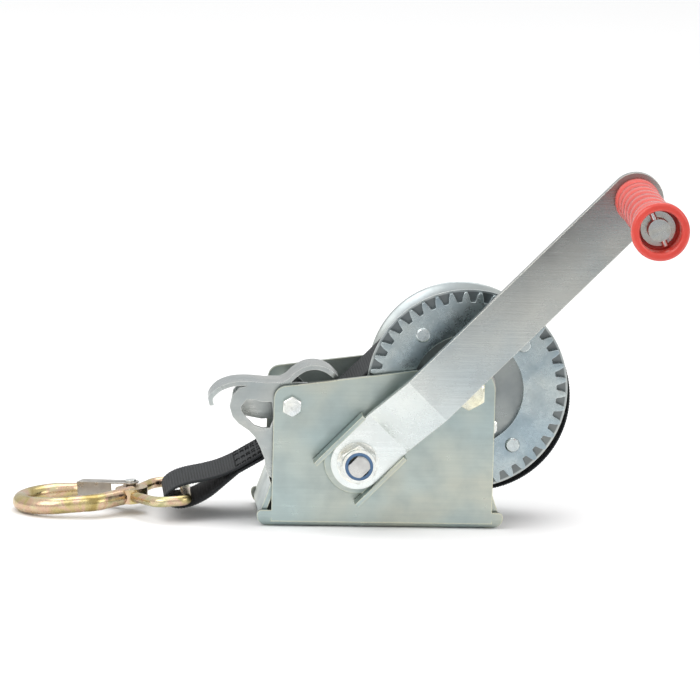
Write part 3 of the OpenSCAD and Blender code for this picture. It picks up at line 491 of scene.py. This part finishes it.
def seam_lines():
    a, b, w = seam_from + 1.5, seam_to - 1.5, WIDTH / 2 - 5
    lines = [[(a, -w), (b, -w)], [(a, w), (b, w)], [(a, -w), (a, w)], [(b, -w), (b, w)]]
    zig = 5
    for k in range(zig):
        y0, y1 = -w + 2 * w * k / zig, -w + 2 * w * (k + 1) / zig
        lines.append([(a if k % 2 else b, y0), (b if k % 2 else a, y1)])
    return lines


def stitch_places():
    out = []
    for (s0, y0), (s1, y1) in seam_lines():
        length = math.hypot(s1 - s0, y1 - y0)
        count = max(2, round(length / 3.4))
        for k in range(count):
            t0, t1 = (k + 0.10) / count, (k + 0.86) / count
            out.append(((s0 + (s1 - s0) * t0, y0 + (y1 - y0) * t0), (s0 + (s1 - s0) * t1, y0 + (y1 - y0) * t1)))
    return out


stitches = stitch_places()
dents = [(e[0], e[1], 0.42) for st in stitches for e in st]
tail_samples = resample(tail_line, lambda s, total: 0.4 if s > 280 or s < 4 else 0.8)


strap = band("strap_webbing", tail_samples, 0.17, 22)

# the dents are pressed in after the ribbon is made, only near the seam
me = strap.data
ring = 2 * (6 + 23)
half_ring = ring // 2
for i, (p, s) in enumerate(tail_samples):
    if not seam_from - 3 < s < seam_to + 3:
        continue
    a, b = tail_samples[max(i - 1, 0)][0], tail_samples[min(i + 1, len(tail_samples) - 1)][0]
    d = unit(b - a)
    n = V2(-d[1], d[0])
    for k in range(ring):
        v = me.vertices[i * ring + k]
        push = 0.0
        for ds, dy, depth in dents:
            q = (s - ds) ** 2 + (v.co.y * 1000 - dy) ** 2
            if q < 3.0:
                push = max(push, depth * math.exp(-q / 0.7))
        if push and k < half_ring:
            v.co += Vector((n[0], 0.0, n[1])) * (push / 1000)
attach(strap, "frame")
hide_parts("strap_tail", "strap_stitching")
strap.data.materials.append(MATS["webbing"])


def frame_at(s):
    """Point and side direction on the strap's middle line at a distance along it."""
    t = 0.0
    for p, q in zip(tail_line, tail_line[1:]):
        step = (q - p).length
        if t + step >= s and step > 0:
            d = (q - p) / step
            return p + d * (s - t), V2(d[1], -d[0])
        t += step
    return tail_line[-1], V2(0, 1)


def thread(name):
    """Every stitch as an arched length of thread, on the upper and the under side of the seam."""
    verts, faces = [], []
    sides, parts, r = 6, 5, 0.36
    for (s0, y0), (s1, y1) in stitches:
        for face in (1, -1):
            base = len(verts)
            for i in range(parts + 1):
                t = i / parts
                s, y = s0 + (s1 - s0) * t, y0 + (y1 - y0) * t
                p, n = frame_at(s)
                lift = THICK / 2 - 0.30 + 0.28 * math.sin(math.pi * t)
                off = lift if face == 1 else -(THICK + LAYER_GAP) - lift
                c = Vector((p[0] + n[0] * off, y, p[1] + n[1] * off))
                dirv = Vector((-n[1] * (s1 - s0), y1 - y0, n[0] * (s1 - s0))).normalized()
                out = Vector((n[0], 0.0, n[1]))
                lat = dirv.cross(out).normalized()
                rr = r * (0.55 + 0.45 * math.sin(math.pi * (0.15 + 0.7 * t)))
                for k in range(sides):
                    a = 2 * math.pi * k / sides
                    verts.append((c + out * (rr * math.cos(a)) + lat * (rr * math.sin(a))) / 1000)
            for i in range(parts):
                for k in range(sides):
                    k2 = (k + 1) % sides
                    faces.append((base + i * sides + k, base + i * sides + k2,
                                  base + (i + 1) * sides + k2, base + (i + 1) * sides + k))
            faces.append([base + k for k in reversed(range(sides))])
            faces.append([base + parts * sides + k for k in range(sides)])
    m = bpy.data.meshes.new(name)
    m.from_pydata(verts, [], faces)
    uv = m.uv_layers.new(name="weave")
    for poly in m.polygons:
        poly.use_smooth = True
        for li in poly.loop_indices:
            c = m.vertices[m.loops[li].vertex_index].co
            uv.data[li].uv = (c.y * 1000, (c.x + c.z) * 1000)
    m.validate()
    o = bpy.data.objects.new(name, m)
    bpy.context.scene.collection.objects.link(o)
    return o


seam = thread("strap_seam_thread")
seam.data.materials.append(MATS["thread"])
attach(seam, "frame")

# the wound strap: one spiral ribbon on the barrel
PITCH_R, R0, R1 = 2.1, 17.05, 41.95
turns = (R1 - R0) / PITCH_R
steps = int(turns * 120)
spiral = []
for i in range(steps + 1):
    t = i / steps
    r = R0 + (R1 - R0) * t
    a = math.radians(-60) + 2 * math.pi * turns * t
    spiral.append(DRUM + r * V2(math.cos(a), math.sin(a)))
outer = 2 * math.pi * R1 * 1.15
roll = band("strap_roll", resample(spiral, lambda s, total: 0.4 if s > total - outer else 2.2), 0.0, 8)
roll.data.materials.append(MATS["webbing"])
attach(roll, "drum")
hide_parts("wound_strap")


# ---------------------------------------------------------------- floor and light
def plane(name, half, mat):
    m = bpy.data.meshes.new(name)
    m.from_pydata([(-half, -half, 0), (half, -half, 0), (half, half, 0), (-half, half, 0)], [], [(0, 1, 2, 3)])
    m.materials.append(mat)
    o = bpy.data.objects.new(name, m)
    bpy.context.scene.collection.objects.link(o)
    return o


floor = plane("floor", 14.0, floor_with_painted_falloff("floor_with_painted_falloff"))
floor.location = (0.0, 0.0, -0.0002)

world = bpy.data.worlds.new("studio")
world.use_nodes = True
bpy.context.scene.world = world
wt = world.node_tree
bg = wt.nodes["Background"]
bg.inputs["Strength"].default_value = 0.95
geo = wt.nodes.new("ShaderNodeTexCoord")
sep = wt.nodes.new("ShaderNodeSeparateXYZ")
wt.links.new(geo.outputs["Generated"], sep.inputs[0])
ramp = wt.nodes.new("ShaderNodeValToRGB")
ramp.color_ramp.elements[0].position = 0.0
ramp.color_ramp.elements[0].color = (0.72, 0.73, 0.74, 1)
ramp.color_ramp.elements[1].position = 0.55
ramp.color_ramp.elements[1].color = (1.0, 1.0, 1.0, 1)
wt.links.new(sep.outputs["Z"], ramp.inputs[0])
wt.links.new(ramp.outputs[0], bg.inputs[0])


def area(name, where, aim, size, power, color=(1, 1, 1)):
    data = bpy.data.lights.new(name, "AREA")
    data.shape = "RECTANGLE"
    data.size, data.size_y = size
    data.energy = power
    data.color = color
    o = bpy.data.objects.new(name, data)
    bpy.context.scene.collection.objects.link(o)
    o.location = where
    o.rotation_euler = (Vector(aim) - Vector(where)).to_track_quat("-Z", "Y").to_euler()
    return o


area("key", (-1.4, -1.6, 1.9), (0.0, 0.0, 0.08), (2.2, 2.2), 30.0)
area("fill", (1.9, -1.5, 1.0), (0.0, 0.0, 0.1), (1.2, 1.2), 9.0)
area("top", (0.1, 0.5, 2.2), (0.0, 0.0, 0.1), (1.6, 1.6), 16.0)
